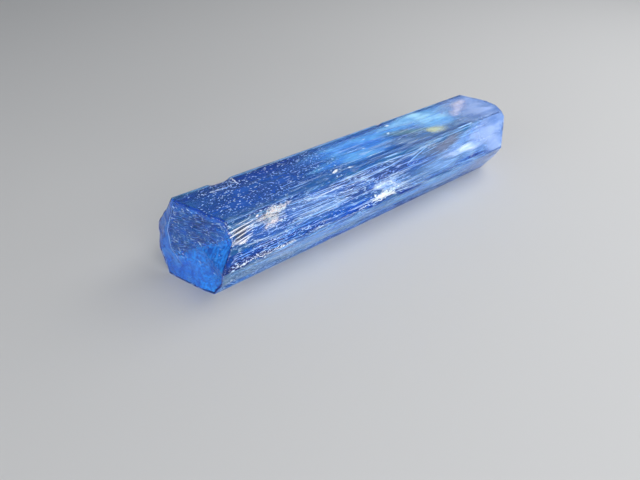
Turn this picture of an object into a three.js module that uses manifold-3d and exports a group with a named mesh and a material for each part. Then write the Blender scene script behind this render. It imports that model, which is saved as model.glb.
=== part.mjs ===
// Aquamarine crystal: a loose six-sided prism of beryl, lying on one of its prism faces.
// Millimetres, +Z up. +X runs along the growth axis, from the broken root end to the flat natural tip.
// -Y is the front, where the two widest prism faces show. The origin is under the middle of the crystal,
// on the face that it rests on.
import * as THREE from 'three';
import { mergeVertices } from 'three/addons/utils/BufferGeometryUtils.js';
import Module from 'manifold-3d';

// ---- Driving dimensions ----------------------------------------------------------------------------

// Prism faces: outward direction in the YZ plane (degrees from +Y, towards +Z), and distance from the axis.
const PRISM_FACES = {
  highBack: { angle: 30, distance: 1.851 },
  top: { angle: 90, distance: 1.623 },
  highFront: { angle: 150, distance: 1.829 },
  lowFront: { angle: 210, distance: 1.722 },
  base: { angle: 270, distance: 1.625 },
  lowBack: { angle: 330, distance: 1.689 },
};
const FACE_NAMES = Object.keys(PRISM_FACES);

// Broken root end: planes x = atAxis + perY * y + perZ * z, each cutting away what lies below it in x.
const ROOT_BREAK = { atAxis: -0.107, perY: -0.38, perZ: 0.18 };
const ROOT_UPPER_BEVEL = { atAxis: -0.824, perY: 0.177, perZ: 0.285 };
const ROOT_LOWER_BEVEL = { atAxis: -0.221, perY: -0.27, perZ: 0.15 };

// A low remnant left standing at the front corner of the root end, between its own two planes.
const REMNANT_FACE = { atAxis: 0.121, perY: 0.079, perZ: -0.209 };
const REMNANT_STEP = { atAxis: -0.036, perY: 0.1, perZ: 0.95 };

// Natural tip: a flat basal face, with beryl's own pyramid slopes cutting corners and one edge.
const TIP_X = 16.9;
const CORNER_SLOPE = 0.998;
const EDGE_SLOPE = 0.576;
const TIP_CORNER_CUTS = {
  highBackTop: 0.62,
  topHighFront: 0.30,
  highFrontLowFront: 0.85,
  lowFrontBase: 0.34,
  baseLowBack: 0.42,
  lowBackHighBack: 0.48,
};
const TIP_EDGE_CUTS = { lowFront: 0.42, lowBack: 0.16, highFront: 0.06 };

// Growth grooves: fine V-shaped channels along the five faces that it doesn't rest on.
const GROOVES_PER_FACE = 7;
const GROOVE_WIDTH = [0.07, 0.16];
const GROOVE_DEPTH = [0.015, 0.035];
const GROOVE_LENGTH = [2.5, 8.0];
const GROOVE_EDGE_MARGIN = 0.18;
const GROOVE_END_MARGIN = 1.3;
const GROOVE_SIDES = 3;
const GROOVE_RINGS = 6;
const GROOVE_TAPER = 0.96;
const GROOVE_PLACE_IN_LANE = [0.2, 0.8];

// Chips: shallow scoops along the prism edges and in the broken end.
// Each names the edge by its two faces, how far along it sits, its length, and how deep it bites.
const EDGE_CHIPS = [
  { faces: ['highBack', 'top'], x: 1.85, length: 0.95, bite: 0.13 },
  { faces: ['highBack', 'top'], x: 10.35, length: 0.34, bite: 0.07 },
  { faces: ['top', 'highFront'], x: 6.0, length: 0.42, bite: 0.06 },
  { faces: ['top', 'highFront'], x: 6.8, length: 0.26, bite: 0.05 },
  { faces: ['highFront', 'lowFront'], x: 1.3, length: 0.7, bite: 0.08 },
  { faces: ['highFront', 'lowFront'], x: 6.8, length: 0.5, bite: 0.07 },
  { faces: ['highFront', 'lowFront'], x: 8.3, length: 1.2, bite: 0.10 },
  { faces: ['lowBack', 'highBack'], x: 4.4, length: 0.6, bite: 0.08 },
  { faces: ['lowBack', 'highBack'], x: 12.1, length: 0.4, bite: 0.06 },
];
const CHIP_DETAIL = [10, 8];
const CHIP_RADIUS_IN_BITES = 3;

// Scoops in the root end: place across the crystal, radius across the end, and depth.
const ROOT_SCOOPS = [
  { y: 1.1, z: 0.6, radius: 1.05, depth: 0.06 },
  { y: -0.3, z: 1.2, radius: 0.8, depth: 0.07 },
  { y: 0.0, z: -0.9, radius: 0.95, depth: 0.06 },
];
const SCOOP_DETAIL = [18, 10];

// The ball that makes a scoop: its half-thickness in scoop depths, and the spread that gives the
// scoop its stated radius where the ball meets the surface.
const SCOOP_THICKNESS = 4;
const SCOOP_SPREAD = 1.5;

// How far cutting blocks and the uncut prism run past the finished crystal.
const BLOCK_SIZE = 40;
const PRISM_OVERRUN = 3;

const CRYSTAL_COLOR = 0x5b93d6;
const CRYSTAL_ROUGHNESS = 0.12;
const GROOVE_SEED = 41;

// Points closer than this are one corner when a shape becomes a solid.
const WELD_DISTANCE = 1e-5;

// The usual minimal-standard random generator.
const RANDOM_FACTOR = 16807;
const RANDOM_RANGE = 2147483647;

// ---- Solids ----------------------------------------------------------------------------------------

const wasm = await Module();
wasm.setup();

function toSolid(geometry) {
  const bare = geometry.clone();
  bare.deleteAttribute('normal');
  bare.deleteAttribute('uv');
  const merged = mergeVertices(bare, WELD_DISTANCE);
  const vertProperties = new Float32Array(merged.attributes.position.array);
  const triVerts = new Uint32Array(merged.index.array);
  return new wasm.Manifold(new wasm.Mesh({ numProp: 3, vertProperties, triVerts }));
}

function toGeometry(solid) {
  const mesh = solid.getMesh();
  const geometry = new THREE.BufferGeometry();
  geometry.setAttribute('position', new THREE.BufferAttribute(new Float32Array(mesh.vertProperties), 3));
  geometry.setIndex(new THREE.BufferAttribute(new Uint32Array(mesh.triVerts), 1));
  return geometry;
}

function seededRandom(seed) {
  let state = seed;
  return () => {
    state = (state * RANDOM_FACTOR) % RANDOM_RANGE;
    return state / RANDOM_RANGE;
  };
}

function between([low, high], share) {
  return low + (high - low) * share;
}

// ---- Cross-section ---------------------------------------------------------------------------------

function faceNormal(name) {
  const angle = THREE.MathUtils.degToRad(PRISM_FACES[name].angle);
  return new THREE.Vector3(0, Math.cos(angle), Math.sin(angle));
}

// The prism corner where two faces meet, as a point of the YZ plane.
function cornerBetween(nameA, nameB) {
  const a = faceNormal(nameA);
  const b = faceNormal(nameB);
  const turn = a.y * b.z - a.z * b.y;
  const distanceA = PRISM_FACES[nameA].distance;
  const distanceB = PRISM_FACES[nameB].distance;
  const y = (distanceA * b.z - distanceB * a.z) / turn;
  const z = (distanceB * a.y - distanceA * b.y) / turn;
  return new THREE.Vector3(0, y, z);
}

function nextFace(name) {
  return FACE_NAMES[(FACE_NAMES.indexOf(name) + 1) % FACE_NAMES.length];
}

// An extruded outline drawn in the YZ plane, running from startX to endX along +X.
function extrudeAlongX(points, startX, endX) {
  const shape = new THREE.Shape(points.map((p) => new THREE.Vector2(p.y, p.z)));
  const geometry = new THREE.ExtrudeGeometry(shape, { depth: endX - startX, bevelEnabled: false });
  const yzToWorld = new THREE.Matrix4().makeBasis(
    new THREE.Vector3(0, 1, 0),
    new THREE.Vector3(0, 0, 1),
    new THREE.Vector3(1, 0, 0),
  );
  geometry.applyMatrix4(yzToWorld);
  geometry.translate(startX, 0, 0);
  return toSolid(geometry);
}

function hexagonalPrism(startX, endX) {
  const corners = FACE_NAMES.map((name) => cornerBetween(name, nextFace(name)));
  return extrudeAlongX(corners, startX, endX);
}

// ---- Planar cuts -----------------------------------------------------------------------------------

// A large block whose flat face passes through a point, filling the side that the normal points to.
function blockBeyond(point, normal) {
  const geometry = new THREE.BoxGeometry(BLOCK_SIZE, BLOCK_SIZE, BLOCK_SIZE);
  geometry.translate(0, 0, BLOCK_SIZE / 2);
  const turn = new THREE.Quaternion().setFromUnitVectors(
    new THREE.Vector3(0, 0, 1),
    normal.clone().normalize(),
  );
  geometry.applyQuaternion(turn);
  geometry.translate(point.x, point.y, point.z);
  return toSolid(geometry);
}

// What lies below a root plane in x.
function blockBelow(plane) {
  const point = new THREE.Vector3(plane.atAxis, 0, 0);
  return blockBeyond(point, new THREE.Vector3(-1, plane.perY, plane.perZ));
}

// What a pyramid face takes off the tip: it starts `cut` below the basal face at an outer point.
function pyramidCut(outerPoint, outward, cut, slope) {
  const point = outerPoint.clone().setX(TIP_X - cut);
  const normal = outward.clone().multiplyScalar(slope).setX(1);
  return blockBeyond(point, normal);
}

function cornerCuts() {
  return FACE_NAMES.map((name) => {
    const partner = nextFace(name);
    const key = name + partner[0].toUpperCase() + partner.slice(1);
    const corner = cornerBetween(name, partner);
    const outward = faceNormal(name).add(faceNormal(partner)).normalize();
    return pyramidCut(corner, outward, TIP_CORNER_CUTS[key], CORNER_SLOPE);
  });
}

function edgeCuts() {
  return Object.entries(TIP_EDGE_CUTS).map(([name, cut]) => {
    const outward = faceNormal(name);
    const onFace = outward.clone().multiplyScalar(PRISM_FACES[name].distance);
    return pyramidCut(onFace, outward, cut, EDGE_SLOPE);
  });
}

// ---- Root remnant ----------------------------------------------------------------------------------

function rootRemnant() {
  return hexagonalPrism(-PRISM_OVERRUN, PRISM_OVERRUN)
    .subtract(blockBelow(REMNANT_FACE))
    .subtract(blockBelow(REMNANT_STEP));
}

// ---- Growth grooves --------------------------------------------------------------------------------

// A long three-sided wedge lying in a prism face, tapering out at both ends.
function groove(faceName, across, startX, length, width, depth) {
  const outward = faceNormal(faceName);
  const sideways = new THREE.Vector3(0, -outward.z, outward.y);
  const geometry = new THREE.CylinderGeometry(width / 2, width / 2, length, GROOVE_SIDES, GROOVE_RINGS);
  const position = geometry.attributes.position;
  for (let i = 0; i < position.count; i += 1) {
    const along = position.getY(i) / (length / 2);
    const taper = 1 - GROOVE_TAPER * along * along;
    position.setX(i, position.getX(i) * taper);
    position.setZ(i, position.getZ(i) * taper);
  }
  geometry.applyMatrix4(new THREE.Matrix4().makeBasis(sideways, new THREE.Vector3(1, 0, 0), outward));
  const flatSide = (width / 2) * Math.cos(Math.PI / GROOVE_SIDES);
  const lift = PRISM_FACES[faceName].distance + flatSide - depth;
  const centre = outward.clone().multiplyScalar(lift).addScaledVector(sideways, across);
  geometry.translate(startX + length / 2, centre.y, centre.z);
  return toSolid(geometry);
}

// How far a face reaches sideways from the foot of its normal, towards each neighbour.
function faceReach(name) {
  const outward = faceNormal(name);
  const sideways = new THREE.Vector3(0, -outward.z, outward.y);
  const before = FACE_NAMES[(FACE_NAMES.indexOf(name) + FACE_NAMES.length - 1) % FACE_NAMES.length];
  const ends = [cornerBetween(before, name), cornerBetween(name, nextFace(name))];
  const reach = ends.map((corner) => corner.dot(sideways));
  return [Math.min(...reach), Math.max(...reach)];
}

function grooves() {
  const random = seededRandom(GROOVE_SEED);
  const cuts = [];
  for (const name of FACE_NAMES.filter((face) => face !== 'base')) {
    const [low, high] = faceReach(name);
    const room = [low + GROOVE_EDGE_MARGIN, high - GROOVE_EDGE_MARGIN];
    for (let i = 0; i < GROOVES_PER_FACE; i += 1) {
      const lane = i + between(GROOVE_PLACE_IN_LANE, random());
      const across = between(room, lane / GROOVES_PER_FACE);
      const length = between(GROOVE_LENGTH, random());
      const startX = between([GROOVE_END_MARGIN, TIP_X - GROOVE_END_MARGIN - length], random());
      const width = between(GROOVE_WIDTH, random());
      const depth = between(GROOVE_DEPTH, random());
      cuts.push(groove(name, across, startX, length, width, depth));
    }
  }
  return cuts;
}

// ---- Chips -----------------------------------------------------------------------------------------

// A flattened ball, long along X, that bites a set depth into a prism edge.
function edgeChip({ faces, x, length, bite }) {
  const corner = cornerBetween(...faces);
  const outward = faceNormal(faces[0]).add(faceNormal(faces[1])).normalize();
  const radius = bite * CHIP_RADIUS_IN_BITES;
  const geometry = new THREE.SphereGeometry(1, ...CHIP_DETAIL);
  geometry.scale(length / 2, radius, radius);
  const centre = corner.clone().addScaledVector(outward, radius - bite);
  geometry.translate(x, centre.y, centre.z);
  return toSolid(geometry);
}

// A flat ball that leaves a shallow hollow in the broken end.
function rootScoop({ y, z, radius, depth }) {
  const geometry = new THREE.SphereGeometry(1, ...SCOOP_DETAIL);
  const thickness = depth * SCOOP_THICKNESS;
  geometry.scale(radius * SCOOP_SPREAD, thickness, radius * SCOOP_SPREAD);
  const normal = new THREE.Vector3(-1, ROOT_BREAK.perY, ROOT_BREAK.perZ).normalize();
  geometry.applyQuaternion(new THREE.Quaternion().setFromUnitVectors(new THREE.Vector3(0, 1, 0), normal));
  const x = ROOT_BREAK.atAxis + ROOT_BREAK.perY * y + ROOT_BREAK.perZ * z;
  const centre = new THREE.Vector3(x, y, z).addScaledVector(normal, thickness - depth);
  geometry.translate(centre.x, centre.y, centre.z);
  return toSolid(geometry);
}

// ---- Assembly --------------------------------------------------------------------------------------

function crystalSolid() {
  let body = hexagonalPrism(-PRISM_OVERRUN, TIP_X);
  const rootPlanes = [ROOT_BREAK, ROOT_UPPER_BEVEL, ROOT_LOWER_BEVEL].map(blockBelow);
  const scoops = ROOT_SCOOPS.map(rootScoop);
  for (const cut of [...rootPlanes, ...scoops]) body = body.subtract(cut);
  body = body.add(rootRemnant());
  const finishing = [...cornerCuts(), ...edgeCuts(), ...grooves(), ...EDGE_CHIPS.map(edgeChip)];
  for (const cut of finishing) body = body.subtract(cut);
  return body;
}

// Moves the crystal so that its box stands centred on the origin, on its resting face.
function restOnOrigin(geometry) {
  geometry.computeBoundingBox();
  const { min, max } = geometry.boundingBox;
  geometry.translate(-(min.x + max.x) / 2, -(min.y + max.y) / 2, -min.z);
  return geometry;
}

function crystal() {
  const material = new THREE.MeshStandardMaterial({
    color: CRYSTAL_COLOR,
    roughness: CRYSTAL_ROUGHNESS,
    metalness: 0,
  });
  const mesh = new THREE.Mesh(restOnOrigin(toGeometry(crystalSolid())), material);
  mesh.name = 'crystal';
  return mesh;
}

const group = new THREE.Group();
group.add(crystal());

export default group;
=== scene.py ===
"""Looks for a loose aquamarine crystal: see-through beryl with its grooves, chips and sealed inclusions.

Lengths below are millimetres unless a name says otherwise; make_object() turns them into metres.
Crystal coordinates: x runs along the growth axis from the broken root end, y and z cross it.
"""

import math

import bpy
import numpy as np
from mathutils import Matrix, Vector


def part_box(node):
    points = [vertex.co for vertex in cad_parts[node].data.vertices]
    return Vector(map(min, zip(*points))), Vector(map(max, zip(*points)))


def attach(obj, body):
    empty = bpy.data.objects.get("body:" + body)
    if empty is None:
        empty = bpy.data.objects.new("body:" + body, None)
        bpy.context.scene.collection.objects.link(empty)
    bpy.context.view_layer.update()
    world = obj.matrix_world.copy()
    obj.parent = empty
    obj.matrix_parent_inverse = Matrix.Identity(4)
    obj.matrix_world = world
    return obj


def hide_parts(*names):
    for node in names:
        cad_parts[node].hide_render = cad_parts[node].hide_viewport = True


MM = 0.001

# ---- Crystal shape, the same planes as the CAD part ----

FACE_NAMES = ("highBack", "top", "highFront", "lowFront", "base", "lowBack")
FACE_ANGLES = (30, 90, 150, 210, 270, 330)
FACE_DISTANCES = (1.851, 1.623, 1.829, 1.722, 1.625, 1.689)

# Root-end planes, each (at the axis, per y, per z).
ROOT_PLANES = ((-0.107, -0.38, 0.18), (-0.824, 0.177, 0.285), (-0.221, -0.27, 0.15))
REMNANT_PLANES = ((0.121, 0.079, -0.209), (-0.036, 0.1, 0.95))
TIP_X = 16.9
CORNER_SLOPE = 0.998
EDGE_SLOPE = 0.576
TIP_CORNER_CUTS = (0.62, 0.30, 0.85, 0.34, 0.42, 0.48)
TIP_EDGE_CUTS = {"lowFront": 0.42, "lowBack": 0.16, "highFront": 0.06}

# ---- Mesh fineness and edge wear ----

EDGE_RADIUS = 0.035
ARC_STEPS = 4
COLUMN_SPACING = 0.0275
SIDE_ROWS = 168
ROOT_RINGS = 30
TIP_RINGS = 14
RIM_STEPS = 4
PLANE_BLEND = 0.03  # how softly two planes of an end meet
END_CALM = 0.3  # within this of an end the side relief dies down
END_RELIEF = 0.3  # to this share
EDGE_CALM = 0.15  # within this of a long edge the side relief dies down
EDGE_RELIEF = 0.35  # to this share, so the relief never folds the rounded edge

# Edge chips, each (the face before the edge, x, length, bite), the same as the CAD part.
EDGE_CHIPS = (
    ("highBack", 1.85, 0.95, 0.13),
    ("highBack", 10.35, 0.34, 0.07),
    ("top", 6.0, 0.42, 0.06),
    ("top", 6.8, 0.26, 0.05),
    ("highFront", 1.3, 0.70, 0.08),
    ("highFront", 6.8, 0.50, 0.07),
    ("highFront", 8.3, 1.20, 0.10),
    ("lowBack", 4.4, 0.60, 0.08),
    ("lowBack", 12.1, 0.40, 0.06),
)

# ---- Sealing ----

SEAL_MARGIN = 0.03  # how far inside an end the inclusions stop
SEAL_SOFTNESS = 0.01  # over what distance they are squeezed rather than cut
SIDE_MARGIN = 0.01  # how far inside the edges of a face its films stop
SIDE_NARROWING = 0.6  # how much each side of the hexagon narrows per unit of depth
RELIEF_REACH = 0.5  # the side relief shifts what is sealed under it, down to this depth

# ---- Camera and lamps ----

CAMERA_AT = (-15.13, -14.65, 15.03)
CAMERA_LOOKS_AT = (-3.96, -2.31, 1.6)
CAMERA_ROLL = 4.28
CAMERA_LENS = 31.25
LAMPS_AIM_AT = (0, 0, 1.6)

# Soft boxes, each (name, place, size, brightness).
LAMPS = (
    ("key", (-12, -52, 44), (45, 45), 1.5),
    ("left", (-58, -8, 24), (40, 30), 1.4),
    ("right", (52, -6, 40), (40, 34), 2.4),
    ("low_front", (-16, -62, 9), (50, 14), 7.0),
    ("overhead", (18, -14, 58), (50, 34), 2.3),
    ("front_soft", (37, -58, 14), (70, 36), 0.15),
    ("back_soft", (37, 56, 20), (70, 30), 0.15),
    ("front_strip", (36, -51, 31), (60, 6), 4.0),
)

# ---- Inclusions, each placed on a face as (x along, distance from the face's upper edge) ----
# Depths are below that face. A line runs through its points; a patch has a middle, a reach and a turn.

# Bright lines: partly growth tubes, partly a painted highlight of the striated faces.
BRIGHT_LINES = (
    ("highFront", ((5.7, 0.40), (7.3, 0.50), (9.4, 0.36)), 0.020),
    ("highFront", ((5.4, 0.19), (7.8, 0.12), (9.6, 0.22), (10.8, 0.23)), 0.018),
    ("highFront", ((9.6, 0.70), (9.9, 0.54), (10.6, 0.36), (11.3, 0.16)), 0.022),
    ("highFront", ((11.2, 0.15), (13.0, 0.13), (14.4, 0.09)), 0.018),
    ("highFront", ((3.2, 0.30), (4.1, 0.33), (5.3, 0.58), (6.1, 1.00)), 0.016),
    ("highFront", ((2.8, 1.03), (3.9, 1.00), (5.1, 1.04), (6.1, 1.02)), 0.016),
    ("top", ((1.40, 0.44), (1.80, 0.55), (2.30, 0.47)), 0.018),
    ("top", ((2.30, 0.48), (2.38, 0.33), (2.40, 0.16)), 0.020),
)
FINGER_RAYS = (
    ((0.50, 0.42), (1.90, 0.30)),
    ((0.52, 0.60), (1.85, 0.40)),
    ((0.66, 0.75), (1.75, 0.54)),
    ((0.45, 0.90), (1.78, 0.70)),
    ((0.85, 0.98), (1.40, 0.84)),
)
DARK_RAYS = (((0.80, 0.50), (1.70, 0.37)), ((0.75, 0.68), (1.55, 0.50)), ((0.60, 0.83), (1.35, 0.66)))
SILK_DEPTH = 0.07
SILK_THICKNESS = 0.006
FLAKE_THICKNESS = 0.006

# The crease that sets off the left bevel of the broken end, as (y, z) from the top down.
ROOT_CREASE = ((1.04, 1.34), (1.20, 0.30), (0.92, -0.47), (0.38, -0.95))

# ---- Looks ----

# Wispy films, each (colour, second colour, cover, breakup, roughness, grain, where the fade is solid).
VEIL_LOOKS = {
    "cream_fracture": ((0.66, 0.50, 0.58), (1.0, 0.82, 0.76), 0.8, 0.8, 0.3, 8),
    # A dark sheet: painted shade in the dark middle of the broken end.
    "root_painted_shade": ((0.002, 0.07, 0.46), (0.008, 0.14, 0.70), 0.9, 0.4, 0.6, 4.0),
    "tip_frost": ((0.26, 0.46, 0.95), (0.44, 0.60, 1.0), 0.5, 0.6, 0.6, 1.4),
    "blush_veil": ((0.66, 0.72, 1.0), (0.98, 0.90, 1.0), 0.6, 0.4, 0.6, 2.0, 0.9),
    # Painted reflection: the bright band down the far half of the top face.
    "painted_reflection_band": ((0.24, 0.62, 1.0), (0.52, 0.84, 1.0), 0.9, 0.5, 0.6, 1.6),
    # Painted shade: dark blue films under the near half.
    "painted_shade_blue": ((0.006, 0.07, 0.36), (0.012, 0.13, 0.55), 0.72, 0.4, 0.6, 2.0),
    # Painted light: azure films standing in for light reflected inside the crystal.
    "azure_painted_light": ((0.07, 0.38, 1.0), (0.24, 0.64, 1.0), 0.75, 0.5, 0.6, 1.6),
    "milky_veil": ((0.48, 0.64, 1.0), (0.84, 0.88, 1.0), 0.9, 0.4, 0.6, 2.0),
    "lavender_veil": ((0.16, 0.31, 0.66), (0.42, 0.55, 0.86), 0.92, 0.35, 0.6, 1.6, 0.75),
    "root_cloud": ((0.004, 0.20, 0.85), (0.020, 0.40, 1.0), 1.0, 0.4, 0.6, 8.0),
    "bevel_cloud": ((0.02, 0.22, 0.85), (0.09, 0.40, 0.98), 1.0, 0.4, 0.6, 3.0),
    "iron_film": ((0.55, 0.62, 0.52), (0.90, 0.90, 0.62), 0.8, 0.4, 0.5, 1.3, 1.0),
    "olive_film": ((0.08, 0.22, 0.34), (0.20, 0.38, 0.42), 0.9, 0.3, 0.5, 1.3, 0.8),
    "smoke": ((0.08, 0.12, 0.22), (0.17, 0.21, 0.34), 0.85, 0.4, 0.6, 2.0, 0.8),
    "blue_haze": ((0.08, 0.20, 0.42), (0.22, 0.36, 0.60), 0.8, 0.4, 0.6, 2.0, 0.7),
}

# Opaque specks, flakes and lines, each (colour, second colour, roughness).
SOLID_LOOKS = {
    # Pale lines: partly growth tubes and edge wear, partly a painted highlight.
    "tube_wear_and_painted_glint": ((0.14, 0.46, 1.0), (0.70, 0.88, 1.0)),
    "cream_flake": ((1.0, 0.76, 0.70), (1.0, 0.92, 0.90)),
    "blue_glint": ((0.45, 0.75, 1.0), (0.90, 0.97, 1.0)),
    "pale_finger": ((0.92, 0.84, 0.86), (1.0, 0.95, 0.95)),
    "dark_gap": ((0.02, 0.03, 0.08), (0.05, 0.07, 0.14), 0.5),
    "root_streak": ((0.10, 0.32, 0.85), (0.35, 0.62, 1.0)),
    "lower_streak": ((0.03, 0.42, 0.95), (0.14, 0.62, 1.0)),
    "root_gap": ((0.003, 0.04, 0.24), (0.008, 0.09, 0.42), 0.5),
    # Bright threads and glints: partly growth lines, partly a painted highlight.
    "thread_painted_glint": ((0.70, 0.88, 1.0), (0.98, 1.0, 1.0)),
    # Etch specks with a painted glint.
    "etch_speck_painted_glint": ((0.50, 0.74, 1.0), (0.92, 0.98, 1.0)),
    # Cracks painted white as a highlight.
    "crack_painted_highlight": ((1.0, 0.98, 0.93), (1.0, 1.0, 1.0), 0.15),
}
BERYL_IOR = 1.577
BERYL_ABSORPTION = (0.013, 0.70, 0.975, 1)
BERYL_DENSITY = 760  # per metre
CLOUD_RANGE = (0.38, 0.62)  # the part of a noise's range that its contrast is stretched over


# ---- Small maths ----

def hashed(ix, iy, iz, seed):
    """A repeatable number from -1 to 1 for each lattice point."""
    h = (ix * 374761393 + iy * 668265263 + iz * 2147483629 + seed * 1274126177) & 0xFFFFFFFF
    h = ((h ^ (h >> 13)) * 1274126177) & 0xFFFFFFFF
    return ((h ^ (h >> 16)) & 0xFFFF) / 32767.5 - 1


def noise3(x, y, z, seed=0):
    """Smooth value noise from -1 to 1."""
    x, y, z = np.broadcast_arrays(x, y, z)
    cell = [np.floor(a).astype(np.int64) for a in (x, y, z)]
    part = [a - c for a, c in zip((x, y, z), cell)]
    fade = [p * p * (3 - 2 * p) for p in part]
    total = np.zeros(x.shape)
    for i in (0, 1):
        for j in (0, 1):
            for k in (0, 1):
                weight = 1.0
                for f, side in zip(fade, (i, j, k)):
                    weight = weight * (f if side else 1 - f)
                total += weight * hashed(cell[0] + i, cell[1] + j, cell[2] + k, seed)
    return total


def bump_curve(value, centre, reach):
    """1 at the centre, falling smoothly to 0 at the reach on each side."""
    t = np.clip(1 - ((value - centre) / reach) ** 2, 0, 1)
    return t * t


def smooth_max(a, b, radius):
    """The larger of the two, with a rounded change from one to the other."""
    gap = np.clip(0.5 + 0.5 * (a - b) / radius, 0, 1)
    return b + (a - b) * gap + radius * gap * (1 - gap)


# ---- Cross-section ----

def face_normal(k):
    """The direction out of face k, in (y, z)."""
    angle = math.radians(FACE_ANGLES[k % 6])
    return np.array((math.cos(angle), math.sin(angle)))


def face_sideways(k):
    """The direction across face k, from its first edge to its second, in (y, z)."""
    n = face_normal(k)
    return np.array((-n[1], n[0]))


def corner(k, inset=0.0):
    """Where face k meets the next one, in (y, z), with every face moved in by the inset."""
    a, b = face_normal(k), face_normal(k + 1)
    da, db = FACE_DISTANCES[k % 6] - inset, FACE_DISTANCES[(k + 1) % 6] - inset
    return np.linalg.solve(np.array((a, b)), np.array((da, db)))


def face_width(name):
    k = FACE_NAMES.index(name)
    return float(np.linalg.norm(corner(k) - corner(k - 1)))


def nearest_corner(points):
    """For each point, how far the nearest corner is and the direction out through that corner."""
    corners = np.array([corner(k) for k in range(6)])
    outward = np.array([face_normal(k) + face_normal(k + 1) for k in range(6)])
    outward /= np.linalg.norm(outward, axis=1)[:, None]
    apart = np.linalg.norm(points[:, None] - corners[None], axis=2)
    return apart.min(axis=1), outward[apart.argmin(axis=1)]


def outline():
    """The rounded cross-section: for each column its point, outward normal and face number."""
    points, normals, faces = [], [], []
    for k in range(6):
        n = face_normal(k)
        start, end = corner(k - 1, EDGE_RADIUS), corner(k, EDGE_RADIUS)
        count = max(3, round(np.linalg.norm(end - start) / COLUMN_SPACING))
        for i in range(count + 1):
            points.append(start + (end - start) * i / count + n * EDGE_RADIUS)
            normals.append(n)
            faces.append(k)
        for i in range(1, ARC_STEPS):
            angle = math.radians(FACE_ANGLES[k] + 60 * i / ARC_STEPS)
            around = np.array((math.cos(angle), math.sin(angle)))
            points.append(end + around * EDGE_RADIUS)
            normals.append(around)
            faces.append(k if i * 2 < ARC_STEPS else (k + 1) % 6)
    return np.array(points), np.array(normals), np.array(faces)


# ---- End surfaces ----

def plane_x(plane, y, z):
    """Where a plane given at the axis, per y and per z lies at (y, z)."""
    return plane[0] + plane[1] * y + plane[2] * z


def root_surface(y, z):
    """How far along x the crystal starts at (y, z): broken planes with a standing remnant."""
    broken = plane_x(ROOT_PLANES[0], y, z)
    for plane in ROOT_PLANES[1:]:
        broken = smooth_max(broken, plane_x(plane, y, z), PLANE_BLEND)
    side, foot = REMNANT_PLANES
    remnant = smooth_max(plane_x(side, y, z), plane_x(foot, y, z), PLANE_BLEND)
    return -smooth_max(-broken, -remnant, 0.04)


def root_texture(y, z):
    """Depth of the broken end's own relief: etched hollows above, flatter steps below."""
    high = np.clip(0.5 + 0.5 * z, 0, 1)
    hollows = np.abs(noise3(2.0 * y, 2.0 * z, 0.4, 11)) * 0.07
    pits = np.clip(noise3(6.0 * y, 5.0 * z, 0.8, 12), 0, 1) * 0.022 * high
    fine = (noise3(17 * y, 17 * z, 0.2, 13) + 1) * 0.0025
    steps = np.abs(noise3(1.2 * y + 0.8 * z, 3.4 * z - 1.2 * y, 2.2, 14)) * 0.045
    return hollows + pits + fine + steps


def tip_surface(y, z):
    """How far along x the crystal reaches at (y, z): the basal face and its pyramid slopes."""
    x = np.full(np.shape(y), TIP_X)
    for k in range(6):
        out = face_normal(k) + face_normal(k + 1)
        out = out / np.linalg.norm(out)
        point = corner(k)
        past = (y - point[0]) * out[0] + (z - point[1]) * out[1]
        slope = TIP_X - TIP_CORNER_CUTS[k] - CORNER_SLOPE * past
        x = -smooth_max(-x, -slope, PLANE_BLEND)
    for name, cut in TIP_EDGE_CUTS.items():
        k = FACE_NAMES.index(name)
        n = face_normal(k)
        slope = TIP_X - cut - EDGE_SLOPE * (y * n[0] + z * n[1] - FACE_DISTANCES[k])
        x = -smooth_max(-x, -slope, PLANE_BLEND)
    return x


def tip_texture(y, z):
    """Depth of the tip's own faint relief."""
    return (noise3(3 * y, 3 * z, 0.1, 21) + 1) * 0.012 + (noise3(11 * y, 11 * z, 0.1, 22) + 1) * 0.004


def crystal_span(y, z):
    """Where the crystal starts and ends along x at (y, z), with the relief of both ends."""
    return root_surface(y, z) + root_texture(y, z), tip_surface(y, z) - tip_texture(y, z)


# ---- Side relief ----

def side_depth(x, points, faces):
    """How deep each side vertex sits below its flat face: striations and shallow growth steps."""
    y, z = points[:, 0][:, None], points[:, 1][:, None]
    flow = 0.10 * np.sin(x * 0.55 + 0.6) + 0.05 * np.sin(x * 1.3 + y)
    wide = noise3(4.2 * (y + flow), 4.2 * (z - flow), x * 0.13, 31)
    lines = noise3(11 * (y + flow), 11 * (z - flow), x * 0.22, 32)
    fine = noise3(22 * (y + flow * 0.6), 22 * (z - flow * 0.6), x * 0.5, 33)
    depth = 0.016 * (wide + 1) * 0.5 + 0.016 * np.abs(lines) + 0.006 * (fine + 1) * 0.5
    ridges = noise3(7 * (y + 0.3 * flow), 7 * (z - 0.3 * flow), x * 0.3, 34)
    coarse = (faces == FACE_NAMES.index("lowFront"))[:, None]
    depth = depth + np.where(coarse, 0.034 * (1 - np.abs(ridges)) ** 2, 0.0)
    resting = (faces == FACE_NAMES.index("base"))[:, None]
    return np.where(resting, 0.0, depth)


def chip_depth(x, points):
    """Extra depth where the long edges are chipped."""
    depth = np.zeros(x.shape)
    for face, middle, length, bite in EDGE_CHIPS:
        apart = np.linalg.norm(points - corner(FACE_NAMES.index(face)), axis=1)[:, None]
        ragged = 1 + 0.5 * noise3(6 * x, 9 * apart, middle, 35)
        near = np.clip(1 - apart / (1.7 * bite * ragged), 0, 1)
        along = np.clip(1 - (2 * np.abs(x - middle) / length) ** 2, 0, 1) ** 0.5
        depth = np.maximum(depth, 0.8 * bite * near * along)
    return depth


# ---- Crystal body ----

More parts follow.
